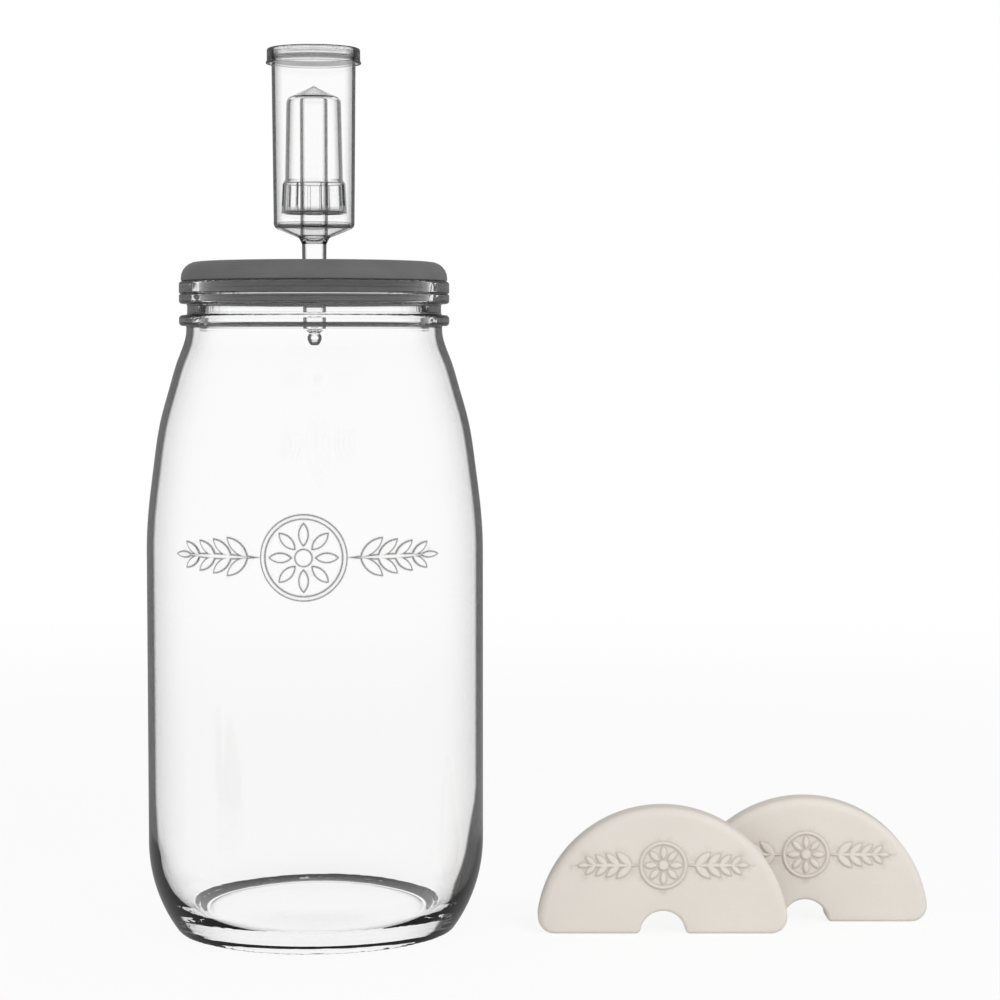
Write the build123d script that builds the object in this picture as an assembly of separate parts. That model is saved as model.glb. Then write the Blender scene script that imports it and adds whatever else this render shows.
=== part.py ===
from build123d import *
from math import cos, radians, sqrt, tan
import os

# A jar for fermenting vegetables: a glass jar, a push-in lid, a three-piece airlock and two weights.
# Millimetres, +Z up. The origin is the centre of the jar's foot, on the surface that it stands on.
# The front, with the raised ornament, faces -Y, and the weights stand on their cut edges to the right, at +X.

# Glass jar, outside: the levels stack up from the foot
body_radius = 68.2
foot_inset = 11.7
foot_width = 4.5
foot_rounding = 0.8
heel_height = 36.0
side_length = 118.3
shoulder_length = 89.4
shoulder_rise_shares = (0.20, 0.38, 0.59, 0.75, 0.86)
shoulder_draw_shares = (0.06, 0.18, 0.36, 0.60, 0.78)
waist_wall = 5.1
waist_length = 1.4
bead_reach = 2.9
bead_width = 4.4
bead_rounding = 1.5
neck_wall = 4.7
neck_length = 4.5
ridge_reach = 3.3
lower_ridge_width = 4.0
upper_ridge_width = 5.1
ridge_rounding = 1.3
groove_depth = 0.7
groove_width = 1.0
rim_rounding = 1.2

# Glass jar, underside and inside: the walls of the neck are measured from the mouth
mouth_radius = 46.6
mouth_depth = 24.0
body_wall = 3.6
base_step_width = 3.0
base_step_height = 0.9
base_rise = 2.6
base_thickness = 3.6
inner_heel_width = 21.6
inner_heel_height = 42.0
inner_floor_drop = 2.2

# Raised ornament on the jar's front: a rosette between two sprigs
jar_ornament_rise = 2.0
jar_ornament_relief = 0.5
jar_rosette_radius = 16.5
jar_sprig_length = 29.0
jar_leaf_length = 11.5

# The same ornament on each weight
weight_ornament_drop = 23.0
weight_ornament_margin = 10.5
weight_ornament_relief = 0.7
weight_rosette_radius = 9.5
weight_leaf_length = 8.0

# How the ornament is laid out
petal_count = 8
leaf_pairs = 4
leaf_angle = 42.0
rosette_core_share = 0.20
rosette_ring_share = 0.90
petal_start_share = 0.28
petal_end_share = 0.80
petal_width_share = 0.42
leaf_width_share = 0.36
leaf_taper_share = 0.45
stalk_width_share = 0.16
sprig_start_share = 1.12

# Lid
flange_inset = 0.8
flange_thickness = 7.8
flange_edge = 1.0
plug_gap = 1.6
plug_depth = 9.8
plug_rounding = 2.5
rib_width = 1.8
rib_count = 2
rib_spacing = 3.6
rib_gap = 0.25
lid_web = 6.4
lid_skirt_wall = 5.5
lid_boss_radius = 10.0
lid_boss_recess = 1.5
stem_gap = 0.2

# Airlock body
stem_stand = 8.5
stem_radius = 4.95
stem_taper = 0.35
stem_wall = 0.85
stem_length = 35.6
stem_flare = 1.2
nozzle_bore_radius = 1.4
nozzle_wall = 0.9
nozzle_bead = 0.6
nozzle_length = 6.8
nozzle_shoulder = 1.6
nozzle_rounding = 0.4
chamber_radius = 16.95
chamber_taper = 0.65
chamber_height = 75.8
chamber_wall = 1.3
chamber_corner = 2.4
chamber_cone_height = 5.4
chamber_rim_reach = 0.45
chamber_rim_height = 1.8
tube_wall = 1.85
tube_headroom = 17.7

# Bell: its radii step inward from its skirt's foot
bell_pitch = 24.5
bell_wall = 1.2
bell_taper = 0.7
bell_corner = 3.0
bell_stand = 5.5
bell_seat_gap = 0.25
bell_nub_radius = 0.6
bell_nub_height = 0.5
skirt_gap = 1.7
skirt_taper = 0.6
skirt_height = 12.1
skirt_overhang = 1.0
skirt_step = 1.6
slot_count = 8
slot_width = 2.25
slot_foot = 3.0
slot_head = 0.4

# Cap
cap_thickness = 1.5
cap_skirt = 4.7
cap_wall = 1.2
cap_gap = 0.2
cap_lip = 0.6
cap_lip_height = 1.4
cap_rounding = 1.0
vent_count = 6
vent_radius = 0.9
vent_circle_radius = 8.0

# Weights
weight_radius = 51.0
weight_thickness = 15.0
weight_corner = 6.5
weight_edge = 2.6
notch_radius = 9.2
notch_corner = 2.0
weight_aside = 21.8
weight_stagger = 60.0
weight_gap = 8.0

# Cutters run this far past what they cut
overrun = 1.0

# Radii of the jar
foot_radius = body_radius - foot_inset
inner_radius = body_radius - body_wall
inner_floor_radius = inner_radius - inner_heel_width
waist_radius = mouth_radius + waist_wall
bead_radius = waist_radius + bead_reach
neck_radius = mouth_radius + neck_wall
ridge_radius = neck_radius + ridge_reach

# Levels on the jar
inner_floor_level = base_rise + base_thickness - inner_floor_drop
shoulder_foot = heel_height + side_length
jar_ornament_level = shoulder_foot + jar_ornament_rise
waist_level = shoulder_foot + shoulder_length
bead_foot = waist_level + waist_length
bead_top = bead_foot + bead_width
ridge_foot = bead_top + neck_length
groove_level = ridge_foot + lower_ridge_width
rim_level = groove_level + upper_ridge_width

# Radii of the lid and the airlock
flange_radius = ridge_radius - flange_inset
plug_radius = mouth_radius - plug_gap
stem_foot_radius = stem_radius - stem_taper
stem_bore_radius = stem_foot_radius - stem_wall
nozzle_neck_radius = nozzle_bore_radius + nozzle_wall
nozzle_tip_radius = nozzle_neck_radius + nozzle_bead
tube_radius = stem_bore_radius + tube_wall
chamber_foot_radius = chamber_radius - chamber_taper
chamber_rim_radius = chamber_radius + chamber_rim_reach
skirt_foot_radius = chamber_foot_radius - chamber_wall - skirt_gap
skirt_top_radius = skirt_foot_radius - skirt_taper
bell_foot_radius = skirt_top_radius - skirt_overhang
bell_top_radius = bell_foot_radius - bell_taper

# Levels on the lid and the airlock
lid_top = rim_level + flange_thickness
plug_foot = rim_level - plug_depth
chamber_foot = lid_top + stem_stand
stem_foot = chamber_foot - stem_length
nozzle_foot = stem_foot - nozzle_length
cone_top = chamber_foot + chamber_cone_height
chamber_rim = chamber_foot + chamber_height
tube_top = chamber_rim - tube_headroom
bell_foot = cone_top + bell_stand
cap_top = chamber_rim + cap_thickness

# Places of the weights and their ornament
weight_distance = body_radius + weight_aside + weight_radius
weight_ornament_level = weight_radius - weight_ornament_drop


def rounded(corners):
    """A flat face from (x, y, rounding) corners, where a rounding of zero leaves the corner sharp."""
    face = make_face(Polyline(*[(x, y) for x, y, _ in corners], close=True).edges())
    for x, y, rounding in corners:
        if rounding:
            corner = face.vertices().sort_by_distance((x, y))[0]
            face = fillet(corner, rounding)
    return face


def turned(face):
    """The solid that a face, drawn with x as the radius and y as the height, sweeps round the Z axis."""
    return revolve(Plane.XZ * face, Axis.Z)


def around(count):
    """Evenly spaced turns about the Z axis."""
    return [Rot(0, 0, 360 * index / count) for index in range(count)]


def leaf(length, width):
    """A pointed leaf from the origin along +X."""
    sides = [ThreePointArc((0, 0), (length / 2, side * width / 2), (length, 0)) for side in (-1, 1)]
    return make_face([edge for side in sides for edge in side.edges()])


def sprig(start, length, leaf_length):
    """A stalk along +X with pairs of leaves that shrink towards a single one at its tip."""
    stalk = Pos(start, 0, 0) * leaf(length, leaf_length * stalk_width_share)
    tip_length = leaf_length * (1 - leaf_taper_share)
    tip = Pos(start + length - tip_length / 2, 0, 0) * leaf(tip_length, tip_length * leaf_width_share)
    leaves = [stalk, tip]
    for pair in range(leaf_pairs):
        along = (pair + 0.5) / (leaf_pairs + 0.5)
        size = leaf_length * (1 - leaf_taper_share * along)
        for side in (-1, 1):
            turn = Rot(0, 0, side * leaf_angle)
            leaves.append(Pos(start + length * along, 0, 0) * turn * leaf(size, size * leaf_width_share))
    return leaves


def ornament(rosette_radius, sprig_length, leaf_length):
    """A rosette between two sprigs, as flat faces about the origin with +Y up."""
    ring = Circle(rosette_radius) - Circle(rosette_radius * rosette_ring_share)
    faces = [Circle(rosette_radius * rosette_core_share), ring]
    petal_length = rosette_radius * (petal_end_share - petal_start_share)
    petal = leaf(petal_length, petal_length * petal_width_share)
    petal = Pos(rosette_radius * petal_start_share, 0, 0) * petal
    faces += [turn * petal for turn in around(petal_count)]
    right = sprig(rosette_radius * sprig_start_share, sprig_length, leaf_length)
    return faces + right + [mirror(face, Plane.YZ) for face in right]


def shoulder(side_radius, top_radius, top_level):
    """The curve that draws the body in, from the side's top to a narrower radius above it."""
    rise = top_level - shoulder_foot
    draw = side_radius - top_radius
    between = [
        (side_radius - draw * inward, shoulder_foot + rise * upward)
        for upward, inward in zip(shoulder_rise_shares, shoulder_draw_shares)
    ]
    points = [(side_radius, shoulder_foot), *between, (top_radius, top_level)]
    return Spline(*points, tangents=[(0, 1), (0, 1)])


def jar_outside(growth):
    """The solid inside the jar's outer surface, with its body grown outward."""
    side = body_radius + growth
    waist = waist_radius + growth
    ring_inner = foot_radius - foot_width
    step = ring_inner - base_step_width
    outline = [
        TangentArc((0, base_rise), (step, base_step_height), tangent=(1, 0)),
        Line((step, base_step_height), (ring_inner, 0)),
        Line((ring_inner, 0), (foot_radius, 0)),
        TangentArc((side, heel_height), (foot_radius, 0), tangent=(0, -1)),
        Line((side, heel_height), (side, shoulder_foot)),
        shoulder(side, waist, waist_level),
        Polyline(
            (waist, waist_level),
            (waist, bead_foot),
            (bead_radius, bead_foot),
            (bead_radius, bead_top),
            (neck_radius, bead_top),
            (neck_radius, ridge_foot),
            (ridge_radius, ridge_foot),
            (ridge_radius, groove_level - groove_width / 2),
            (ridge_radius - groove_depth, groove_level),
            (ridge_radius, groove_level + groove_width / 2),
            (ridge_radius, rim_level),
            (0, rim_level),
            (0, base_rise),
        ),
    ]
    face = make_face([edge for piece in outline for edge in piece.edges()])
    roundings = [
        (ring_inner, 0, foot_rounding),
        (foot_radius, 0, foot_rounding),
        (bead_radius, bead_foot, bead_rounding),
        (bead_radius, bead_top, bead_rounding),
        (neck_radius, bead_top, bead_rounding / 2),
        (neck_radius, ridge_foot, bead_rounding / 2),
        (ridge_radius, ridge_foot, ridge_rounding),
        (ridge_radius, rim_level, ridge_rounding),
    ]
    for x, y, rounding in roundings:
        face = fillet(face.vertices().sort_by_distance((x, y))[0], rounding)
    return turned(face)


def jar_inside():
    """The space inside the jar, up past its rim."""
    mouth_foot = rim_level - mouth_depth
    above = rim_level + overrun
    heel_drop = inner_heel_height - inner_floor_level
    outline = [
        TangentArc((0, base_rise + base_thickness), (inner_floor_radius, inner_floor_level), tangent=(1, 0)),
        EllipticalCenterArc(
            (inner_floor_radius, inner_heel_height), inner_heel_width, heel_drop, 270, arc_size=90
        ),
        Line((inner_radius, inner_heel_height), (inner_radius, shoulder_foot)),
        shoulder(inner_radius, mouth_radius, mouth_foot),
        Polyline(
            (mouth_radius, mouth_foot),
            (mouth_radius, above),
            (0, above),
            (0, base_rise + base_thickness),
        ),
    ]
    return turned(make_face([edge for piece in outline for edge in piece.edges()]))


def glass_jar():
    """The jar, with the ornament raised on its front."""
    reach = body_radius + overrun
    front = Plane((0, -reach, jar_ornament_level), x_dir=(1, 0, 0), z_dir=(0, -1, 0))
    faces = ornament(jar_rosette_radius, jar_sprig_length, jar_leaf_length)
    prisms = [extrude(front * face, -reach) for face in faces]
    raised = [prism & jar_outside(jar_ornament_relief) for prism in prisms]
    jar = jar_outside(0)
    for solid in raised:
        jar += solid
    jar -= jar_inside()
    mouth_edge = jar.edges().filter_by(GeomType.CIRCLE).group_by(Axis.Z)[-1].sort_by(SortBy.RADIUS)[0]
    return fillet(mouth_edge, rim_rounding)


def silicone_lid():
    """The lid: a flange on the rim, and a hollow plug with sealing ribs and a boss for the stem."""
    hole = stem_radius + stem_gap
    recess_top = lid_top - lid_web
    boss_foot = plug_foot + lid_boss_recess
    skirt_inner = plug_radius - lid_skirt_wall
    section = rounded([
        (hole, lid_top, 0),
        (flange_radius, lid_top, flange_thickness - flange_edge),
        (flange_radius, rim_level, 0),
        (plug_radius, rim_level, 0),
        (plug_radius, plug_foot, plug_rounding),
        (skirt_inner, plug_foot, lid_skirt_wall / 4),
        (skirt_inner, recess_top, lid_skirt_wall / 4),
        (lid_boss_radius, recess_top, lid_skirt_wall / 4),
        (lid_boss_radius, boss_foot, lid_skirt_wall / 4),
        (hole, boss_foot, 0),
    ])
    lid = turned(section)
    rib_reach = mouth_radius - rib_gap
    for index in range(rib_count):
        level = rim_level - rib_spacing * (index + 0.5)
        rib = rounded([
            (plug_radius - rib_width / 2, level - rib_width / 2, 0),
            (rib_reach, level - rib_width / 2, rib_width / 3),
            (rib_reach, level + rib_width / 2, rib_width / 3),
            (plug_radius - rib_width / 2, level + rib_width / 2, 0),
        ])
        lid += turned(rib)
    return lid


def airlock_body():
    """The chamber with its central tube, and the stem and its round tip under it, as one moulding."""
    flare_radius = stem_radius + stem_flare
    flare_top = chamber_foot + stem_flare
    slope = (cone_top - flare_top) / (chamber_foot_radius - flare_radius)
    rim_foot = chamber_rim - chamber_rim_height
    nozzle_middle = nozzle_foot + nozzle_tip_radius
    tip = Pos(0, 0, nozzle_middle) * Sphere(nozzle_tip_radius)
    outside = tip + turned(rounded([
        (0, nozzle_middle, 0),
        (nozzle_neck_radius, nozzle_middle, 0),
        (nozzle_neck_radius, stem_foot - nozzle_shoulder, 0),
        (stem_foot_radius, stem_foot, nozzle_rounding),
        (stem_radius, chamber_foot - stem_flare, stem_flare),
        (flare_radius, flare_top, stem_flare / 2),
        (chamber_foot_radius, cone_top, chamber_corner),
        (chamber_radius, rim_foot, 0),
        (chamber_rim_radius, rim_foot + chamber_rim_height / 3, 0),
        (chamber_rim_radius, chamber_rim, 0),
        (0, chamber_rim, 0),
    ]))
    floor_rise = chamber_wall * sqrt(1 + slope**2)
    inner_foot_radius = chamber_foot_radius - chamber_wall
    inner_top_radius = chamber_radius - chamber_wall
    inner_cone_top = cone_top - slope * chamber_wall + floor_rise
    tube_foot = inner_cone_top - slope * (inner_foot_radius - tube_radius)
    inside = turned(rounded([
        (tube_radius, tube_foot, 0),
        (inner_foot_radius, inner_cone_top, chamber_corner - chamber_wall / 2),
        (inner_top_radius, chamber_rim + overrun, 0),
        (tube_radius, chamber_rim + overrun, 0),
    ]))
    above_tube = turned(rounded([
        (0, tube_top, 0),
        (tube_radius + chamber_wall, tube_top, 0),
        (tube_radius + chamber_wall, chamber_rim + overrun, 0),
        (0, chamber_rim + overrun, 0),
    ]))
    bore = turned(rounded([
        (0, nozzle_foot - overrun, 0),
        (nozzle_bore_radius, nozzle_foot - overrun, 0),
        (nozzle_bore_radius, stem_foot, 0),
        (stem_bore_radius, stem_foot + stem_bore_radius - nozzle_bore_radius, 0),
        (stem_bore_radius, tube_top + overrun, 0),
        (0, tube_top + overrun, 0),
    ]))
    return outside - inside - above_tube - bore


def airlock_bell():
    """The inverted cup that rests on the tube, with slots round its skirt."""
    pitch = tan(radians(bell_pitch))
    apex = tube_top + bell_seat_gap + tube_radius * pitch + bell_wall / cos(radians(bell_pitch))
    skirt_top = bell_foot + skirt_height
    outside = turned(rounded([
        (0, bell_foot, 0),
        (skirt_foot_radius, bell_foot, 0),
        (skirt_top_radius, skirt_top, 0),
        (bell_foot_radius, skirt_top + skirt_step, 0),
        (bell_top_radius, apex - bell_top_radius * pitch, bell_corner),
        (0, apex, 0),
    ]))
    under = bell_foot - overrun
    inner_top = bell_top_radius - bell_wall
    inside = turned(rounded([
        (0, under, 0),
        (skirt_foot_radius - bell_wall, under, 0),
        (skirt_top_radius - bell_wall, skirt_top, 0),
        (bell_foot_radius - bell_wall, skirt_top + skirt_step, 0),
        (inner_top, apex - bell_wall / cos(radians(bell_pitch)) - inner_top * pitch, bell_corner - bell_wall),
        (0, apex - bell_wall / cos(radians(bell_pitch)), 0),
    ]))
    nub_foot = apex - bell_wall / 2
    nub = Pos(0, 0, nub_foot) * Cylinder(
        bell_nub_radius, bell_nub_height + bell_wall / 2, align=(Align.CENTER, Align.CENTER, Align.MIN)
    )
    bell = outside + nub - inside
    reach = skirt_foot_radius + overrun
    slot_height = skirt_height - slot_foot - slot_head
    slot = Pos(0, 0, bell_foot + slot_foot) * Box(
        reach, slot_width, slot_height, align=(Align.MIN, Align.CENTER, Align.MIN)
    )
    for turn in around(slot_count):
        bell -= turn * slot
    return bell


def airlock_cap():
    """The cap that pushes over the chamber's rim, with vent holes in its top."""
    inner = chamber_rim_radius + cap_gap
    outer = inner + cap_wall
    foot = chamber_rim - cap_skirt
    cap = turned(rounded([
        (0, chamber_rim, 0),
        (inner, chamber_rim, 0),
        (inner, foot, 0),
        (outer + cap_lip, foot, cap_lip / 2),
        (outer, foot + cap_lip_height, 0),
        (outer, cap_top, cap_rounding),
        (0, cap_top, 0),
    ]))
    vent = Pos(vent_circle_radius, 0, chamber_rim - overrun) * Cylinder(
        vent_radius, cap_thickness + 2 * overrun, align=(Align.CENTER, Align.CENTER, Align.MIN)
    )
    for turn in around(vent_count):
        cap -= turn * vent
    return cap


def half_moon():
    """One weight on its cut edge, centred on X and Y, with its ornament towards -Y."""
    reach = weight_radius + overrun
    above = Rectangle(2 * reach, reach, align=(Align.CENTER, Align.MIN))
    outline = (Circle(weight_radius) & above) - Circle(notch_radius)
    outline = fillet(outline.vertices().sort_by(Axis.X)[0], weight_corner)
    outline = fillet(outline.vertices().sort_by(Axis.X)[-1], weight_corner)
    for side in (-1, 1):
        corner = outline.vertices().sort_by_distance((side * notch_radius, 0))[0]
        outline = fillet(corner, notch_corner)
    return outline


def weight():
    """A half-moon weight with rounded rims and a raised ornament."""
    back = Plane((0, weight_thickness / 2, 0), x_dir=(1, 0, 0), z_dir=(0, -1, 0))
    solid = extrude(back * half_moon(), weight_thickness)
    rims = solid.faces().filter_by(Axis.Y).edges()
    solid = fillet(rims, weight_edge)
    front = Plane((0, -weight_thickness / 2, weight_ornament_level), x_dir=(1, 0, 0), z_dir=(0, -1, 0))
    half_width = sqrt(weight_radius**2 - weight_ornament_level**2) - weight_ornament_margin
    sprig_length = half_width - weight_rosette_radius * sprig_start_share
    for face in ornament(weight_rosette_radius, sprig_length, weight_leaf_length):
        solid += extrude(front * face, weight_ornament_relief)
    return solid


def main():
    half_moon_weight = weight()
    aside = weight_gap / 2 + weight_thickness / 2
    pieces = {
        "glass_jar": glass_jar(),
        "silicone_lid": silicone_lid(),
        "airlock_body": airlock_body(),
        "airlock_bell": airlock_bell(),
        "airlock_cap": airlock_cap(),
        "weight_front": Pos(weight_distance, -aside, 0) * half_moon_weight,
        "weight_back": Pos(weight_distance + weight_stagger, aside, 0) * half_moon_weight,
    }
    os.makedirs("parts", exist_ok=True)
    for name, piece in pieces.items():
        export_step(piece, f"parts/{name}.step")


main()
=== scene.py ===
import math

import bmesh
import bpy
import numpy as np
from bpy.props import FloatProperty, FloatVectorProperty, IntProperty, PointerProperty
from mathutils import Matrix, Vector
from mathutils.geometry import delaunay_2d_cdt


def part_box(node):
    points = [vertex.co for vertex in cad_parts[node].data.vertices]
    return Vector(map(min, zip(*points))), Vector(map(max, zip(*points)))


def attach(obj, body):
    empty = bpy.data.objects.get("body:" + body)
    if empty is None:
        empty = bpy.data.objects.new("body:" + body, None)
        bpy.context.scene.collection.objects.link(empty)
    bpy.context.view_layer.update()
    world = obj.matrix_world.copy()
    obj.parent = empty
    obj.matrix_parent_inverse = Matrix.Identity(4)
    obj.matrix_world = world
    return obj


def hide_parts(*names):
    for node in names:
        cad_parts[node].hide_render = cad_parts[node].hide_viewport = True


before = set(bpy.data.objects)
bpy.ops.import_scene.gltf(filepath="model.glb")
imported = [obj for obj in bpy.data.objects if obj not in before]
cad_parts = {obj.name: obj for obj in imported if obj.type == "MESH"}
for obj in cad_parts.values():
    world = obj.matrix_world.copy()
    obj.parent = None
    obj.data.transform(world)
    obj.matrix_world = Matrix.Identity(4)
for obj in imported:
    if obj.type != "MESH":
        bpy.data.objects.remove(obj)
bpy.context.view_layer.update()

bl_info = {
    "name": "Fermentation Jar",
    "version": (1, 0, 0),
    "blender": (4, 5, 0),
    "location": "View3D > Sidebar > Fermentation Jar",
    "description": "Builds a glass fermentation jar with its lid, airlock and two half-moon weights",
    "category": "Add Mesh",
}

# Tables of outlines are in millimetres, and MM turns them into Blender's metres
MM = 0.001
FRONT = -math.pi / 2

# Meshing: the turn between points of an arc, a triangle grid's row spacing and the gap between two grids
ARC_STEP, GRID_ROWS, GRID_GAP = math.radians(16), 0.866, 0.4


def level(node, corner):
    """The lowest (0) or highest (1) level of a node in the frame, in millimetres."""
    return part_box(node)[corner][2] / MM


RIM = level("glass_jar", 1)
CHAMBER_RIM = level("airlock_body", 1)
BELL_FOOT = level("airlock_bell", 0)
CAP_TOP = level("airlock_cap", 1)

# Glass jar: (radius, level above the rim, rounding) corners of the neck, from the waist up to the rim
NECK = (
    (51.7, -18.0, 0.5),
    (54.6, -18.0, 1.5),
    (54.6, -13.6, 1.5),
    (51.3, -13.6, 0.9),
    (51.3, -9.1, 0.9),
    (54.6, -9.1, 1.3),
    (54.6, -5.6, 0.25),
    (53.9, -5.1, 0.2),
    (54.6, -4.6, 0.25),
    (54.6, 0.0, 1.3),
    (46.6, 0.0, 1.2),
)
WAIST = (51.7, RIM - 19.4)
MOUTH = (46.6, RIM - 20.0)
SHOULDER_RISE = (0.20, 0.38, 0.59, 0.75, 0.86)
SHOULDER_DRAW = (0.06, 0.18, 0.36, 0.60, 0.78)
SIDE_FOOT, SIDE_TOP = 36.0, RIM - 108.8
INNER_SIDE_FOOT = 42.0
BASE_RISE, BASE_STEP, RING_START, RING_ROUNDING = 2.6, (49.0, 0.9), 52.0, 0.8
FLOOR_RADIUS, FLOOR_EDGE, FLOOR_MIDDLE = 43.0, 4.0, 6.2

# Rows of faces in the parts of the jar's outline
BASE_ROWS, HEEL_ROWS, SIDE_ROWS, PATCH_ROWS, SHOULDER_ROWS = 8, 30, 16, 16, 33
INNER_SHOULDER_ROWS, INNER_SIDE_ROWS, INNER_HEEL_ROWS, STIPPLED_HEEL_ROWS = 30, 19, 26, 5

# Where the jar's side is left open for the ornament: levels, half width as a part of a turn, and margin
PATCH = (SIDE_TOP - 21.0, SIDE_TOP + 25.0)
PATCH_TURN = 50 / 360
PATCH_MARGIN = 0.9

# Unevenness inside: (share, waves round the jar, start, climb per metre), and where it fades, in metres
STRAYS = ((1.0, 2, 0.7, 9), (0.6, 3, 2.1, -14), (0.4, 5, 0.0, 21))
STRAY_TOP, STRAY_FADE = 0.235, 0.03

# The foot's dimples: how quickly they deepen and fade over their rows, and where they end
STIPPLE_PACE, STIPPLE_END, STIPPLE_SEED = 1.2, 0.83, 7

# Clear pieces get a painted dark outline of shade, as wide as the wall that a sight line only just passes
# through
JAR_BAND, STEM_BAND, TUBE_BAND, CHAMBER_BAND, BELL_BAND, CAP_BAND = 3.3, 1.3, 1.25, 1.5, 1.7, 3.0

# The jar's painted dark outline of shade is wider at its heel, by these widths from its left to its right,
# and uneven at its neck
HEEL_LEVEL, HEEL_REACH = 24, 33
HEEL_WIDER = ((-1, -0.6, 0.6, 1), (2.2, 0, 0, 8.5))
NECK_BAND, NECK_STRAY, NECK_SEED = 7.0, 3.0, 11

# Facing at which painted shade makes the cone and the bell's roof dark, though the cone only fades, and one
# out of reach
CONE_EDGE, ROOF_EDGE, NO_EDGE = 1.3, 0.86, 9.0

# Half the width of the painted dark lines of shade along the jar's ornament, and how solid they are in their
# middle
LINE_HALF, LINE_DEPTH = 0.45, 1.25

# How bright the surroundings are in reflections, where the dark edges of clear glass need dim ones
GLOSS_LEVEL = 0.25

# Lid: levels above the jar's rim, with the ribs on its plug and the slightly arched top
LID = (
    (5.15, 7.8, 0.5),
    (53.8, 7.8, 6.6),
    (53.8, 0.15, 0.5),
    (45.0, 0.15, 0.3),
    (45.0, -9.8, 2.5),
    (39.5, -9.8, 1.4),
    (39.5, 1.4, 1.4),
    (10.0, 1.4, 1.4),
    (10.0, -8.3, 1.4),
    (5.15, -8.3, 0.5),
)
PLUG, LID_RIBS, RIB_HALF = 45.0, (-1.8, -5.4), 0.9
ARCH_START, ARCH_END, ARCH_FALL, ARCH_ROWS = 5.65, 47.2, 0.12, 15

# Airlock body: levels above the chamber's rim, with the round tip under the stem added by itself
TIP_RADIUS, TIP_LEVEL, TIP_NECK, TIP_BORE, TIP_ROWS = 2.9, -115.3, 2.3, 1.4, 16
STEM_AND_CHAMBER = (
    (2.3, -113.0, 0.3),
    (4.6, -111.4, 0.4),
    (4.95, -77.0, 1.2),
    (6.15, -74.6, 0.6),
    (16.3, -70.4, 2.4),
    (16.95, -1.8, 0.2),
    (17.4, -1.2, 0.2),
    (17.4, 0.0, 0.3),
    (15.72, 0.0, 0.3),
    (15.0, -69.5, 1.8),
    (5.6, -73.4, 0.5),
    (5.6, -17.7, 0.4),
    (3.75, -17.7, 0.4),
    (3.75, -109.05, 0.4),
    (1.4, -111.4, 0.3),
)
# Levels that part the airlock body for its painted dark edges of shade
TIP_TOP, STEM_TOP, TUBE_FOOT, CONE_TOP, FLOOR_TOP = -112, -76.5, -73.6, -71.0, -70.3
# Radii that part its inside from its outside: stem, tube, just round the tube, floor and chamber
STEM_WALL, TUBE_WALL, TUBE_REACH, FLOOR_START, CHAMBER_WALL = 4.3, 4.5, 5.7, 6.5, 15.8
# Painted dark lines of shade where the chamber's floor meets its tube and its wall: (radii, levels, darkness)
BODY_LINES = (
    ((0.0, 6.2), (-75.4, -72.8), 0.85),
    ((13.8, 20.0), (-71.0, -68.9), 0.6),
)

# Bell: levels above its skirt's foot
SKIRT_TOP, SKIRT_RADIUS, SKIRT_DRAW, SKIRT_WALL = 12.1, 13.3, 0.6, 1.2
BELL_FOOT_CORNERS = (
    (12.1, 0.6, 0.0),
    (12.1, 0.0, 0.3),
    (13.3, 0.0, 0.3),
    (13.27, 0.6, 0.0),
    (13.25, 1.0, 0.0),
)
BELL_OUTSIDE = (
    (12.71, 11.9, 0.0),
    (12.7, 12.1, 0.3),
    (12.4, 12.58, 0.0),
    (11.7, 13.7, 0.6),
    (11.0, 46.31, 3.0),
    (0.6, 51.05, 0.25),
    (0.6, 51.8, 0.3),
    (0.0, 51.8, 0.0),
)
BELL_INSIDE = (
    (11.51, 11.9, 0.0),
    (11.5, 12.1, 0.2),
    (10.5, 13.7, 0.4),
    (9.8, 45.54, 1.8),
    (0.0, 50.0, 0.0),
)
ROOF_LEVEL = 46
# Painted dark lines of shade on the bell: up to a level on its foot, and between two levels outside a radius
# on its skirt
FOOT_LINE, SKIRT_LINE, SKIRT_LINE_RADIUS = 0.7, (SKIRT_TOP - 0.2, SKIRT_TOP + 0.4), 12
# Slots round the bell's skirt: their number, levels and half angle, and faces up, across and between them
SLOTS, SLOT_LEVELS, SLOT_HALF = 8, (3.0, 11.7), math.asin(1.125 / 12.9)
SLOT_ROWS, SLOT_COLUMNS, BAR_COLUMNS = 5, 4, 10

# Cap: levels above its top
CAP = (
    (17.0, 0.0, 0.0),
    (18.8, 0.0, 1.0),
    (18.8, -3.1, 0.0),
    (18.8, -3.5, 0.0),
    (18.8, -4.8, 0.5),
    (19.04, -5.35, 0.0),
    (19.18, -5.7, 0.0),
    (19.4, -6.2, 0.3),
    (17.6, -6.2, 0.3),
    (17.6, -1.4, 0.3),
    (17.0, -1.4, 0.0),
)
# How dark the painted shade bands on the cap's side, outside this radius, are at levels above its top
CAP_SIDE = 18
CAP_BANDS = ((-5.7, -5.35, -3.5, -3.1, -0.9, -0.3), (0.0, 0.85, 0.85, 0.0, 0.0, 0.9))
# Vents in the cap: their number, how far out they are, their radius and the points round each
VENTS, VENT_PLACE, VENT_RADIUS, VENT_POINTS = 6, 8.0, 0.9, 24

# Weights: radius, rounding of the corners, radius of the finger notch and rounding beside it
WEIGHT_RADIUS, WEIGHT_CORNER, NOTCH, NOTCH_CORNER = 51.0, 6.5, 9.2, 2.0
EDGE_ROWS = 7
# Painted shade in the hollow beside the ornament: distance from the ornament's outline, half width and
# darkness
HOLLOW_PLACE, HOLLOW_HALF, HOLLOW_DARKNESS = 0.35, 0.55, 0.75
# Where on a weight's face the points that carry the ornament may lie
FACE_REACH, FACE_HEIGHT, FACE_RADIUS, FACE_NOTCH, FACE_FOOT = 46.0, 48.0, 46.2, 12.2, 3.0
FACE_CORNER, FACE_CORNER_RADIUS = (43.5, 6.5), 1.5

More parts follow.
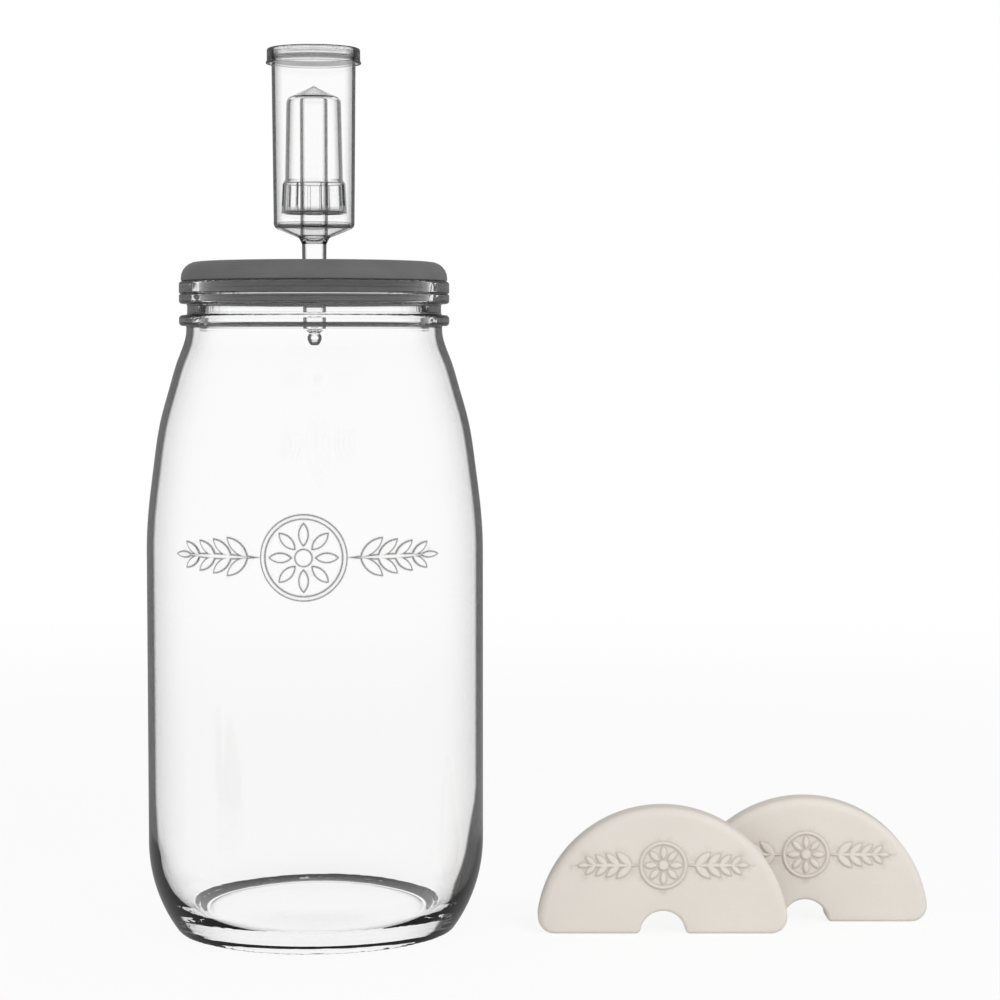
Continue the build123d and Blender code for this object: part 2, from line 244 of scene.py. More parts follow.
# Ornament: its height above the straight side or the cut edge, then its rosette, sprigs and leaves
JAR_ORNAMENT = (2.0, 16.5, 29.0, 11.5)
WEIGHT_ORNAMENT = (28.0, 9.5, 21.5, 8.0)
PETALS, LEAF_PAIRS, LEAF_LEAN = 8, 4, math.radians(42)

# Stage, in metres
LAMP_TARGET = (0.04, 0.0, 0.17)
CAMERA_PLACE, CAMERA_TILT = (0.07516, -1.11533, 0.24090), math.radians(90 - 3.4095)
FLOOR_SIZE, FLOOR_CORNERS = 6, 96
# How white the floor is for the eye: from one distance to another, and the level at each
FLOOR_FADE = (0.30, 1.40, 0.88, 1.0)
# How bright the sky is through glass: from one height to another, and the level at each
SKY_FADE = (0.45, 0.95, 1.0, 0.45)
BOUNCES = 32


class GlassSettings(bpy.types.PropertyGroup):
    """Sizes and colours of the glass jar"""

    body_radius: FloatProperty(
        name="Body radius", description="Outside radius of the jar's straight side",
        default=round(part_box("glass_jar")[1][0], 6), min=0.06, max=0.09, unit="LENGTH", precision=4,
    )
    foot_radius: FloatProperty(
        name="Foot radius", description="Outer radius of the ring that the jar stands on",
        default=0.0565, min=0.053, max=0.065, unit="LENGTH", precision=4,
    )
    wall: FloatProperty(
        name="Wall", description="Thickness of the glass in the straight side",
        default=0.0036, min=0.002, max=0.006, unit="LENGTH", precision=4,
    )
    relief: FloatProperty(
        name="Ornament relief", description="How far the ornament stands out of the jar's front",
        default=0.0005, min=0.0, max=0.0005, unit="LENGTH", precision=5,
    )
    stipple: FloatProperty(
        name="Foot stipple", description="Depth of the dimples round the ring that the jar stands on",
        default=0.00028, min=0.0, max=0.001, unit="LENGTH", precision=5,
    )
    unevenness: FloatProperty(
        name="Unevenness", description="How far the inside strays from a true turned shape",
        default=0.00025, min=0.0, max=0.001, unit="LENGTH", precision=5,
    )
    columns: IntProperty(
        name="Columns", description="Number of faces round the jar", default=288, min=96, max=480, step=36
    )
    clear_colour: FloatVectorProperty(
        name="Clear colour", description="Colour of the glass where it is seen face on",
        default=(0.998, 0.998, 0.998), min=0.0, max=1.0, subtype="COLOR",
    )
    # Painted shade: the dark colour painted into the glass towards its outline and along the ornament
    edge_shade_colour: FloatVectorProperty(
        name="Edge colour", description="Colour of the glass where it turns away and along the ornament",
        default=(0.012, 0.012, 0.0125), min=0.0, max=1.0, subtype="COLOR",
    )


class LidSettings(bpy.types.PropertyGroup):
    """Sizes and colours of the lid"""

    rib_reach: FloatProperty(
        name="Rib reach", description="Radius of the sealing ribs on the plug",
        default=0.04635, min=0.0455, max=0.0465, unit="LENGTH", precision=5,
    )
    colour: FloatVectorProperty(
        name="Silicone", description="Colour of the silicone",
        default=(0.122, 0.122, 0.123), min=0.0, max=1.0, subtype="COLOR",
    )
    columns: IntProperty(
        name="Columns", description="Number of faces round the lid", default=192, min=64, max=384
    )


class AirlockSettings(bpy.types.PropertyGroup):
    """Colours of the airlock"""

    clear_colour: FloatVectorProperty(
        name="Clear plastic", description="Colour of the clear plastic where it is seen face on",
        default=(0.998, 0.998, 0.998), min=0.0, max=1.0, subtype="COLOR",
    )
    # Painted shade: the dark colour painted into the clear plastic towards its outline and along its drawn
    # lines
    edge_shade_colour: FloatVectorProperty(
        name="Plastic edges", description="Colour of the clear plastic where it turns away",
        default=(0.010, 0.010, 0.0105), min=0.0, max=1.0, subtype="COLOR",
    )
    cap_colour: FloatVectorProperty(
        name="Cap", description="Colour of the smoky clear cap",
        default=(0.92, 0.92, 0.92), min=0.0, max=1.0, subtype="COLOR",
    )
    columns: IntProperty(
        name="Columns", description="Number of faces round the airlock", default=112, min=56, max=224, step=56
    )


class WeightSettings(bpy.types.PropertyGroup):
    """Sizes and colours of the two weights"""

    arc_edge: FloatProperty(
        name="Arc edge", description="Rounding of the edge along the weight's arc",
        default=0.0034, min=0.001, max=0.006, unit="LENGTH", precision=4,
    )
    cut_edge: FloatProperty(
        name="Cut edge", description="Rounding of the edge along the cut side and the finger notch",
        default=0.0015, min=0.0005, max=0.0019, unit="LENGTH", precision=4,
    )
    relief: FloatProperty(
        name="Ornament relief", description="How far the ornament stands out of the weight's face",
        default=0.0007, min=0.0, max=0.0007, unit="LENGTH", precision=5,
    )
    colour: FloatVectorProperty(
        name="Glaze", description="Colour of the glaze",
        default=(0.83, 0.775, 0.71), min=0.0, max=1.0, subtype="COLOR",
    )
    # Painted shade: the darker colour painted into the glaze in the hollow beside the ornament
    hollow_shade_colour: FloatVectorProperty(
        name="Hollows", description="Colour of the glaze where it has gathered beside the ornament",
        default=(0.50, 0.44, 0.385), min=0.0, max=1.0, subtype="COLOR",
    )


class StageSettings(bpy.types.PropertyGroup):
    """Floor, lamps and camera"""

    floor_colour: FloatVectorProperty(
        name="Floor", description="Colour of the floor",
        default=(0.90, 0.90, 0.90), min=0.0, max=1.0, subtype="COLOR",
    )
    key_power: FloatProperty(
        name="Key lamp", description="Power of the soft lamp at the front right",
        default=9.0, min=0.0, unit="POWER",
    )
    fill_power: FloatProperty(
        name="Fill lamp", description="Power of the soft lamp at the left",
        default=3.0, min=0.0, unit="POWER",
    )
    ambient: FloatProperty(
        name="Ambient", description="Strength of the even light from all round",
        default=0.54, min=0.0, max=1.0, subtype="FACTOR",
    )
    lens: FloatProperty(
        name="Lens", description="Focal length of the camera",
        default=98.85, min=20.0, max=300.0, unit="CAMERA",
    )


# Outlines


def rounded(corners, closed=True):
    """Points of an outline of (radius, level, rounding) corners, each rounded by an arc."""
    corners = [np.array(corner, dtype=float) for corner in corners]
    points = []
    for index, corner in enumerate(corners):
        here, rounding = corner[:2], corner[2]
        if not rounding or (not closed and index in (0, len(corners) - 1)):
            points.append(here)
            continue
        before = corners[index - 1][:2] - here
        after = corners[(index + 1) % len(corners)][:2] - here
        before /= np.linalg.norm(before)
        after /= np.linalg.norm(after)
        half = math.acos(np.clip(before @ after, -1, 1)) / 2
        middle = (before + after) / np.linalg.norm(before + after)
        centre = here + middle * rounding / math.sin(half)
        start = here + before * rounding / math.tan(half) - centre
        turn = math.pi - 2 * half
        if start[0] * (-middle[1]) - start[1] * (-middle[0]) < 0:
            turn = -turn
        steps = max(2, round(abs(turn) / ARC_STEP))
        for step in range(steps + 1):
            angle = turn * step / steps
            cosine, sine = math.cos(angle), math.sin(angle)
            away = (start[0] * cosine - start[1] * sine, start[0] * sine + start[1] * cosine)
            points.append(centre + away)
    return [tuple(point) for point in points]


def braced(outline, closed=True):
    """An outline with points near the ends of its straight runs, so that their shading stays straight."""
    longest, brace = 1.0, 0.2
    points = []
    for start, end in zip(outline, outline[1:] + (outline[:1] if closed else [])):
        points.append(start)
        length = math.dist(start, end)
        if length > longest:
            run = np.array(end) - start
            points += [tuple(np.array(start) + run * part / length) for part in (brace, length - brace)]
    return points if closed else points + outline[-1:]


def lifted(corners, base):
    """Corners of an outline with their levels counted from a base."""
    return [(radius, base + height, rounding) for radius, height, rounding in corners]


def heel(foot, side, height, steps):
    """The arc that turns from the foot up into an upright side."""
    inset = side - foot
    size = (inset**2 + height**2) / (2 * inset)
    drops = height * np.linspace(1, 0, steps + 1)
    return [(side - size + math.sqrt(size**2 - drop**2), height - drop) for drop in drops]


def inner_heel(inner, side, low, high, steps):
    """The quarter ellipse from the jar's inner floor up into its inner side."""
    turns = np.linspace(0, math.pi / 2, steps + 1)
    return [(inner + (side - inner) * math.sin(turn), high - (high - low) * math.cos(turn)) for turn in turns]


def bowed(radius, edge, middle, parts):
    """The low dome of the jar's base, at parts of the way from its middle to its edge."""
    return [(radius * part, middle - (middle - edge) * part**2) for part in parts]


def shoulder(side, top, steps):
    """The smooth curve that draws the body in, from the side's top to a narrower point above it."""
    rise, draw = top[1] - SIDE_TOP, side - top[0]
    between = [
        (side - draw * inward, SIDE_TOP + rise * upward)
        for upward, inward in zip(SHOULDER_RISE, SHOULDER_DRAW)
    ]
    knots = np.array([(side, SIDE_TOP), *between, top])
    chords = np.linalg.norm(np.diff(knots, axis=0), axis=1)
    count = len(knots)
    system, right = np.zeros((count, count)), np.zeros((count, 2))
    system[0, 0] = system[-1, -1] = 1
    right[0] = right[-1] = (0, 1)
    for index in range(1, count - 1):
        below, above = chords[index - 1], chords[index]
        system[index, index - 1 : index + 2] = (above, 2 * (below + above), below)
        up_to, onward = knots[index] - knots[index - 1], knots[index + 1] - knots[index]
        right[index] = 3 * (above / below * up_to + below / above * onward)
    slopes = np.linalg.solve(system, right)
    along = np.concatenate([[0], np.cumsum(chords)])
    points = []
    for place in np.linspace(0, along[-1], steps + 1):
        index = min(int(np.searchsorted(along, place, side="right")) - 1, count - 2)
        length = chords[index]
        part = (place - along[index]) / length
        points.append(
            (2 * part**3 - 3 * part**2 + 1) * knots[index]
            + (part**3 - 2 * part**2 + part) * length * slopes[index]
            + (3 * part**2 - 2 * part**3) * knots[index + 1]
            + (part**3 - part**2) * length * slopes[index + 1]
        )
    return [tuple(point) for point in points]


def body_radius(side, height):
    """The jar's outside radius at levels from the side's foot up to the waist."""
    curve = np.array([(side, SIDE_FOOT), *shoulder(side, WAIST, 160)])
    return np.interp(height, curve[:, 1], curve[:, 0])


def body_rows(side, low, high, rows):
    """The jar's outside in even rows between two levels, without the first level."""
    heights = np.linspace(low, high, rows + 1)[1:]
    return list(zip(body_radius(side, heights).tolist(), heights))


def turned(outline, angles, loop=False, left_out=None):
    """Points, rings of point numbers and faces of an outline in millimetres turned round the Z axis."""
    points, rings, faces = [], [], []
    for radius, height in outline:
        first = len(points)
        if radius < 1e-6:
            points.append((0.0, 0.0, height * MM))
            rings.append([first] * len(angles))
        else:
            reach = radius * MM
            points.extend((reach * math.cos(angle), reach * math.sin(angle), height * MM) for angle in angles)
            rings.append(list(range(first, first + len(angles))))
    following = rings[1:] + rings[:1] if loop else rings[1:]
    for row, (low, high) in enumerate(zip(rings, following)):
        for column in range(len(angles)):
            if left_out and left_out(row, column):
                continue
            after = (column + 1) % len(angles)
            corners = dict.fromkeys((low[column], low[after], high[after], high[column]))
            faces.append(tuple(corners))
    return points, rings, faces


def edge_facing(radius, wall):
    """How far an upright turned surface faces away where the sight line only just passes through its wall."""
    across = 1 - wall / np.maximum(radius, 2 * wall)
    return np.where(radius < 2 * wall, NO_EDGE, 1 - np.sqrt(1 - across**2))


def spread(values, rings, count):
    """One value for each point, from one value for each ring."""
    result = np.zeros(count)
    for value, ring in zip(values, rings):
        result[ring] = value
    return result


def even_angles(columns):
    """Evenly spaced angles round the Z axis, of which the first one faces the front."""
    return [FRONT + 2 * math.pi * column / columns for column in range(columns)]


# Ornament: a rosette between two sprigs


def leaf_distance(x, y, start, turn, length, width):
    """Signed distance to a pointed leaf that starts at a point on the X axis and leans by a turn."""
    cosine, sine = math.cos(turn), math.sin(turn)
    along = (x - start) * cosine + y * sine - length / 2
    across = np.abs(y * cosine - (x - start) * sine)
    radius = (length**2 + width**2) / (4 * width)
    return np.hypot(along, across + radius - width / 2) - radius


def ornament_distance(x, y, rosette, sprig, leaf):
    """Signed distance in millimetres to the ornament's outline, negative inside it."""
    away = np.hypot(x, y)
    eye, hoop, hoop_half = 0.20 * rosette, 0.95 * rosette, 0.05 * rosette
    distance = np.minimum(away - eye, np.abs(away - hoop) - hoop_half)
    petal_start, petal = 0.28 * rosette, 0.52 * rosette
    for index in range(PETALS):
        turn = index * math.pi / (PETALS / 2)
        cosine, sine = math.cos(turn), math.sin(turn)
        along, across = x * cosine + y * sine, y * cosine - x * sine
        distance = np.minimum(distance, leaf_distance(along, across, petal_start, 0, petal, 0.42 * petal))
    start, stem_width = 1.12 * rosette, 0.16 * leaf
    tip, slimness = 0.55 * leaf, 0.36
    parts = [(start, 0, sprig, stem_width), (start + sprig - tip / 2, 0, tip, slimness * tip)]
    for pair in range(LEAF_PAIRS):
        along = (pair + 0.5) / (LEAF_PAIRS + 0.5)
        size = leaf * (1 - 0.45 * along)
        for lean in (LEAF_LEAN, -LEAF_LEAN):
            parts.append((start + sprig * along, lean, size, slimness * size))
    for part in parts:
        distance = np.minimum(distance, leaf_distance(np.abs(x), y, *part))
    return distance


def relief_height(distance, softness):
    """How much of the relief stands at a signed distance from the ornament's outline, from 0 to 1."""
    part = np.clip(0.5 - distance / (2 * softness), 0, 1)
    return part * part * (3 - 2 * part)


def patch_points(low, high, distance_at, fine, coarse, reach):
    """Points inside a rectangle, close together near the ornament's outline and further apart elsewhere."""
    found = []
    for spacing in (fine, coarse):
        columns = np.arange(low[0], high[0], spacing)
        rows = np.arange(low[1], high[1], spacing * GRID_ROWS)
        x, y = np.meshgrid(columns, rows)
        x = x + (np.arange(len(rows)) % 2 * spacing / 2)[:, None]
        distance = np.abs(distance_at(x, y))
        keep = distance < reach if spacing == fine else distance > reach + spacing * GRID_GAP
        keep &= x < high[0]
        found.append(np.column_stack([x[keep], y[keep]]))
    return np.vstack(found)


def fill_loop(loop, inner, numbers):
    """Triangles between a loop of flat points and the points inside it, by the numbers of both."""
    count = len(loop)
    edges = [(index, (index + 1) % count) for index in range(count)]
    flat = [Vector(point) for point in [*loop, *inner]]
    _, _, faces, originals, _, _ = delaunay_2d_cdt(flat, edges, [], 1, 1e-7)
    return [tuple(numbers[originals[corner][0]] for corner in face) for face in faces]


# Pieces


def new_piece(name, points, faces, material, body, nodes, sharp=60, masks=None):
    """A closed mesh object that stands for CAD nodes and rides on a CAD body."""
    mesh = bpy.data.meshes.new(name)
    mesh.from_pydata(points, [], faces)
    for mask, values in (masks or {}).items():
        attribute = mesh.attributes.new(mask, "FLOAT", "POINT")
        attribute.data.foreach_set("value", np.asarray(values, dtype=np.float32))
    work = bmesh.new()
    work.from_mesh(mesh)
    bmesh.ops.recalc_face_normals(work, faces=work.faces)
    work.to_mesh(mesh)
    work.free()
    mesh.shade_smooth()
    mesh.set_sharp_from_angle(angle=math.radians(sharp))
    mesh.materials.append(material)
    piece = bpy.data.objects.new(name, mesh)
    bpy.context.scene.collection.objects.link(piece)
    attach(piece, body)
    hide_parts(*nodes)
    return piece


# Materials


def add_node(tree, kind, place, inputs=None, **settings):
    """A node at a place in its tree, with its settings, and with its inputs set or fed by other nodes."""
    node = tree.nodes.new(kind)
    node.location = place
    for name, value in settings.items():
        setattr(node, name, value)
    for socket, value in (inputs or {}).items():
        if isinstance(value, bpy.types.NodeSocket):
            tree.links.new(value, node.inputs[socket])
        else:
            node.inputs[socket].default_value = value
    return node


def calculate(tree, place, operation, *values):
    """The output of a math node."""
    return add_node(tree, "ShaderNodeMath", place, dict(enumerate(values)), operation=operation).outputs[0]


def remap(tree, place, value, start, end, low=0.0, high=1.0, smooth=True):
    """The output of a node that turns the range from start to end into the range from low to high."""
    inputs = {"Value": value, "From Min": start, "From Max": end, "To Min": low, "To Max": high}
    way = "SMOOTHSTEP" if smooth else "LINEAR"
    return add_node(tree, "ShaderNodeMapRange", place, inputs, interpolation_type=way).outputs["Result"]


def blend(tree, place, share, first, second, kind="RGBA"):
    """The output of a node that goes from the first colour or number to the second by a share."""
    from_socket, to_socket, result = {"FLOAT": (2, 3, 0), "RGBA": (6, 7, 2)}[kind]
    inputs = {0: share, from_socket: first, to_socket: second}
    return add_node(tree, "ShaderNodeMix", place, inputs, data_type=kind).outputs[result]


def new_group(name, inputs, outputs):
    """A shader node group with named sockets, each given as (name, socket type, default)."""
    group = bpy.data.node_groups.new(name, "ShaderNodeTree")
    for sockets, direction in ((inputs, "INPUT"), (outputs, "OUTPUT")):
        for label, kind, value in sockets:
            socket = group.interface.new_socket(label, in_out=direction, socket_type=kind)
            if value is not None:
                socket.default_value = value
    given = add_node(group, "NodeGroupInput", (-600, 0)).outputs
    end = add_node(group, "NodeGroupOutput", (600, 0))
    return group, given, end


def edge_shade_group():
    """Paints shade into clear glass or plastic: darkens its colour towards its outline, and along lines that
    are drawn on it.
    """
    name = "Edge Shade"
    if name in bpy.data.node_groups:
        return bpy.data.node_groups[name]
    group, given, end = new_group(
        name,
        [
            ("Clear Colour", "NodeSocketColor", (1, 1, 1, 1)),
            ("Edge Shade Colour", "NodeSocketColor", (0, 0, 0, 1)),
            ("Facing", "NodeSocketFloat", 0.0),
            ("Edge", "NodeSocketFloat", 0.7),
            ("Fade", "NodeSocketFloat", 0.5),
            ("Outline", "NodeSocketFloat", 0.0),
        ],
        [("Colour", "NodeSocketColor", None)],
    )
    turn = calculate(group, (-400, 100), "DIVIDE", given["Facing"], given["Edge"])
    dark = remap(group, (-200, 200), turn, 0.94, 1.06)
    fade = remap(group, (-200, -100), turn, 0.50, 1.0, high=given["Fade"])
    both = calculate(group, (0, 100), "MAXIMUM", dark, fade)
    most = calculate(group, (150, 0), "MAXIMUM", both, given["Outline"])
    # The painted shade goes from the clear colour over to the edge shade colour
    shaded = blend(group, (350, 0), most, given["Clear Colour"], given["Edge Shade Colour"])
    group.links.new(shaded, end.inputs["Colour"])
    return group


def mottle_group():
    """Drifts between two colours in soft blotches with a fine fleck, and gives a matching height for bump."""
    name = "Mottle"
    if name in bpy.data.node_groups:
        return bpy.data.node_groups[name]
    group, given, end = new_group(
        name,
        [
            ("Colour", "NodeSocketColor", (0.8, 0.8, 0.8, 1)),
            ("Blotch Colour", "NodeSocketColor", (0.7, 0.7, 0.7, 1)),
            ("Blotch Size", "NodeSocketFloat", 60.0),
            ("Grain Size", "NodeSocketFloat", 1800.0),
            ("Amount", "NodeSocketFloat", 0.5),
        ],
        [("Colour", "NodeSocketColor", None), ("Height", "NodeSocketFloat", None)],
    )
    place = add_node(group, "ShaderNodeTexCoord", (-800, -200)).outputs["Object"]
    blotch_inputs = {"Vector": place, "Scale": given["Blotch Size"], "Detail": 3.0}
    blotch = add_node(group, "ShaderNodeTexNoise", (-350, 150), blotch_inputs).outputs["Fac"]
    grain_inputs = {"Vector": place, "Scale": given["Grain Size"], "Detail": 2.0}
    grain = add_node(group, "ShaderNodeTexNoise", (-350, -150), grain_inputs).outputs["Fac"]
    both = calculate(group, (-100, 0), "MULTIPLY_ADD", grain, 0.35, blotch)
    stretch = remap(group, (80, 0), both, 0.45, 0.90, smooth=False)
    share = calculate(group, (240, 100), "MULTIPLY", stretch, given["Amount"])
    mottled = blend(group, (400, 100), share, given["Colour"], given["Blotch Colour"])
    group.links.new(mottled, end.inputs["Colour"])
    group.links.new(both, end.inputs["Height"])
    return group


def new_material(name):
    """A material with an empty node tree and its output node."""
    material = bpy.data.materials.new(name)
    material.use_nodes = True
    material.node_tree.nodes.clear()
    output = add_node(material.node_tree, "ShaderNodeOutputMaterial", (700, 0))
    return material, material.node_tree, output


def point_mask(tree, place, name):
    """The output of a node that reads a value stored on the mesh's points."""
    return add_node(tree, "ShaderNodeAttribute", place, attribute_name=name).outputs["Fac"]


def clear_material(name, clear, edge, fade, ior, roughness, shadow, wave):
    """Clear glass or plastic with painted shade that darkens it towards its edges, and that lets soft light
    through to the floor.
    """
    material, tree, output = new_material(name)
    facing = add_node(tree, "ShaderNodeLayerWeight", (-500, 100), {"Blend": 0.5}).outputs["Facing"]
    # The painted shade: dark edges and drawn lines painted into the base colour
    shade = add_node(
        tree,
        "ShaderNodeGroup",
        (-200, 100),
        {
            "Clear Colour": (*clear, 1),
            "Edge Shade Colour": (*edge, 1),
            "Facing": facing,
            "Edge": point_mask(tree, (-500, -100), "edge"),
            "Fade": fade,
            "Outline": point_mask(tree, (-500, -250), "outline"),
        },
        node_tree=edge_shade_group(),
    )
    sizes = {"Blotch Size": 28.0, "Grain Size": 90.0}
    mottle = add_node(tree, "ShaderNodeGroup", (-500, -450), sizes, node_tree=mottle_group())
    waves = {"Strength": wave, "Distance": 0.001, "Height": mottle.outputs["Height"]}
    bump = add_node(tree, "ShaderNodeBump", (-200, -300), waves)
    shader = add_node(
        tree,
        "ShaderNodeBsdfPrincipled",
        (100, 0),
        {
            "Base Color": shade.outputs["Colour"],
            "Metallic": 0.0,
            "Roughness": roughness,
            "IOR": ior,
            "Transmission Weight": 1.0,
            "Normal": bump.outputs["Normal"],
        },
    )
    path = add_node(tree, "ShaderNodeLightPath", (100, 300)).outputs
    through = add_node(tree, "ShaderNodeBsdfTransparent", (100, -400), {"Color": (shadow, shadow, shadow, 1)})
    mixed = {0: path["Is Shadow Ray"], 1: shader.outputs["BSDF"], 2: through.outputs["BSDF"]}
    mix = add_node(tree, "ShaderNodeMixShader", (450, 0), mixed)
    tree.links.new(mix.outputs["Shader"], output.inputs["Surface"])
    return material


def moulded_material(
    name, colour, blotch, amount, roughness, grain_depth, blotch_size, grain_size, hollow=None, finish=None
):
    """Silicone or glaze: a mottled colour with a fine grain, and with painted shade in its hollows where it
    has them.
    """
    material, tree, output = new_material(name)
    mottle = add_node(
        tree,
        "ShaderNodeGroup",
        (-400, 0),
        {
            "Colour": (*colour, 1),
            "Blotch Colour": (*(blotch * part for part in colour), 1),
            "Blotch Size": blotch_size,
            "Grain Size": grain_size,
            "Amount": amount,
        },
        node_tree=mottle_group(),
    )
    surface = mottle.outputs["Colour"]
    # Painted shade in the hollows, from the mask stored as outline
    if hollow:
        surface = blend(tree, (0, 100), point_mask(tree, (-400, 250), "outline"), surface, (*hollow, 1))
    grain = {"Strength": 1.0, "Distance": grain_depth, "Height": mottle.outputs["Height"]}
    bump = add_node(tree, "ShaderNodeBump", (0, -250), grain)
    inputs = {"Base Color": surface, "Roughness": roughness, "Normal": bump.outputs["Normal"]}
    shader = add_node(tree, "ShaderNodeBsdfPrincipled", (300, 0), {**inputs, **(finish or {})})
    tree.links.new(shader.outputs["BSDF"], output.inputs["Surface"])
    return material


# Operators


class FERMENT_OT_glass_jar(bpy.types.Operator):
    """Build the glass jar, with the ornament raised on its front"""

    bl_idname = "ferment.glass_jar"
    bl_label = "Glass Jar"

    def execute(self, context):
        sizes = context.scene.ferment_glass
        base, lower, upper, inside = self.outline_parts(sizes)
        outline = base + lower + upper + inside
        first_row = len(base + lower) - 1
        last_row = first_row + PATCH_ROWS
        half = round(PATCH_TURN * sizes.columns)

        def in_patch(row, column):
            return first_row <= row < last_row and (column < half or column >= sizes.columns - half)

        points, rings, faces = turned(outline, even_angles(sizes.columns), left_out=in_patch)
        points = np.array(points)
        inner_points = np.unique(rings[-len(inside) :])
        self.make_uneven(points, inner_points, sizes)
        self.stipple_foot(points, rings[BASE_ROWS + 1 : len(base) + STIPPLED_HEEL_ROWS], sizes)

        columns = [column % sizes.columns for column in range(-half, half + 1)]
        loop = [rings[first_row][column] for column in columns]
        loop += [rings[row][columns[-1]] for row in range(first_row + 1, last_row)]
        loop += [rings[last_row][column] for column in reversed(columns)]
        loop += [rings[row][columns[0]] for row in range(last_row - 1, first_row, -1)]
        raised, raised_faces, distance = self.raise_ornament(points, loop, half, sizes)
        # Painted dark lines of shade along the ornament's outline
        lines = np.clip(LINE_DEPTH - np.abs(distance) / LINE_HALF, 0, 1)
        outline_mask = np.concatenate([np.zeros(len(points)), lines])
        points = np.vstack([points, raised])
        faces += raised_faces

        # Painted dark edges of shade towards the jar's outline, none on its inside
        edges = self.edge_mask(points)
        edges[inner_points] = NO_EDGE
        masks = {"outline": outline_mask, "edge": edges}
        glass = clear_material(
            "Jar Glass", sizes.clear_colour, sizes.edge_shade_colour,
            fade=0.3, ior=1.5, roughness=0.0, shadow=0.93, wave=0.03,
        )
        new_piece("jar_glass", points.tolist(), faces, glass, "jar", ["glass_jar"], masks=masks)
        return {"FINISHED"}

    def outline_parts(self, sizes):
        """Outlines of the underside, the outside up to the ornament and on from there, and the inside."""
        side, foot = sizes.body_radius / MM, sizes.foot_radius / MM
        inner_side = side - sizes.wall / MM
        middle = bowed(BASE_STEP[0], BASE_STEP[1], BASE_RISE, np.linspace(0, 1, BASE_ROWS + 1))
        heel_outside = heel(foot, side, SIDE_FOOT, HEEL_ROWS)[1:]
        ring_corners = [(RING_START, 0, RING_ROUNDING), (foot, 0, RING_ROUNDING)]
        ring = rounded([(*BASE_STEP, 0), *ring_corners, (*heel_outside[0], 0)], closed=False)
        ring_middle = [(RING_START + (foot - RING_START) * part, 0.0) for part in (0.4, 0.6)]
        base = middle + ring[1:4] + ring_middle + ring[4:-1]

        low_side = [(side, height) for height in np.linspace(SIDE_FOOT, PATCH[0], SIDE_ROWS + 1)[1:]]
        upper = body_rows(side, *PATCH, PATCH_ROWS) + body_rows(side, PATCH[1], WAIST[1], SHOULDER_ROWS)
        neck = rounded([(*WAIST, 0), *lifted(NECK, RIM), (*MOUTH, 0)], closed=False)
        upper += braced(neck, closed=False)[1:]

        inside = shoulder(inner_side, MOUTH, INNER_SHOULDER_ROWS)[::-1][1:]
        levels = np.linspace(SIDE_TOP, INNER_SIDE_FOOT, INNER_SIDE_ROWS + 1)[1:-1]
        inside += [(inner_side, height) for height in levels]
        inside += inner_heel(FLOOR_RADIUS, inner_side, FLOOR_EDGE, INNER_SIDE_FOOT, INNER_HEEL_ROWS)[::-1]
        inside += bowed(FLOOR_RADIUS, FLOOR_EDGE, FLOOR_MIDDLE, np.linspace(1, 0, BASE_ROWS + 1)[1:])
        return base, heel_outside + low_side, upper, inside

    def raise_ornament(self, points, loop, half, sizes):
        """Points and faces that fill the loop with the ornament, and the points' distance to its outline."""
        side = sizes.body_radius / MM
        reach = side * half * 2 * math.pi / sizes.columns

        def flat(number):
            x, y, z = points[number]
            return side * math.atan2(x, -y), z / MM

        def distance_at(around, height):
            across = body_radius(side, height) * np.sin(around / side)
            return ornament_distance(across, height - SIDE_TOP - JAR_ORNAMENT[0], *JAR_ORNAMENT[1:])

        low = (-reach + PATCH_MARGIN, PATCH[0] + PATCH_MARGIN)
        high = (reach - PATCH_MARGIN, PATCH[1] - PATCH_MARGIN)
        inner = patch_points(low, high, distance_at, fine=0.36, coarse=1.9, reach=0.75)
        distance = distance_at(inner[:, 0], inner[:, 1])
        radius = body_radius(side, inner[:, 1]) * MM + sizes.relief * relief_height(distance, softness=0.32)
        turn = FRONT + inner[:, 0] / side
        raised = np.column_stack([radius * np.cos(turn), radius * np.sin(turn), inner[:, 1] * MM])
        numbers = loop + list(range(len(points), len(points) + len(inner)))
        return raised, fill_loop([flat(number) for number in loop], inner, numbers), distance

    def edge_mask(self, points):
        """Where painted shade darkens the jar's outside: more at the heel than on the body, and unevenly at
        the neck.
        """
        x, y, z = points.T / MM
        radius = np.maximum(np.hypot(x, y), 0.1)
        near_heel = np.clip(1 - np.abs(z - HEEL_LEVEL) / HEEL_REACH, 0, 1)
        wall = JAR_BAND + near_heel * np.interp(x / radius, *HEEL_WIDER)
        uneven = np.random.default_rng(NECK_SEED).uniform(-NECK_STRAY, NECK_STRAY, len(points))
        wall = np.where(z > WAIST[1] + 1, NECK_BAND + uneven, wall)
        underneath = (z < 0.5) | (z < BASE_RISE + 0.1) & (radius < RING_START + 0.1)
        return np.where(underneath, NO_EDGE, edge_facing(radius, wall))

    def make_uneven(self, points, numbers, sizes):
        """Strays from the true turned shape on the inside, as pressed glass does."""
        x, y, z = points[numbers].T
        turn, radius = np.arctan2(y, x), np.hypot(x, y)
        strays = 0
        for share, waves, start, climb in STRAYS:
            strays = strays + share * np.sin(waves * turn + start + climb * z)
        fade = np.clip((STRAY_TOP - z) / STRAY_FADE, 0, 1) * np.clip(radius / STRAY_FADE, 0, 1)
        grown = radius + sizes.unevenness * strays * fade * np.clip(z / STRAY_FADE, 0, 1) / 2
        points[numbers, 0] = grown * np.cos(turn)
        points[numbers, 1] = grown * np.sin(turn)

    def stipple_foot(self, points, rings, sizes):
        """Dimples the ring that the jar stands on, fading out at the start of its heel."""
        chance = np.random.default_rng(STIPPLE_SEED)
        for row, ring in enumerate(rings):
            part = (row + 0.5) / len(rings)
            swell = math.sin(math.pi * min(1.0, part * STIPPLE_PACE)) if part < STIPPLE_END else 0.0
            for number in ring:
                points[number, 2] += sizes.stipple * swell * chance.random()


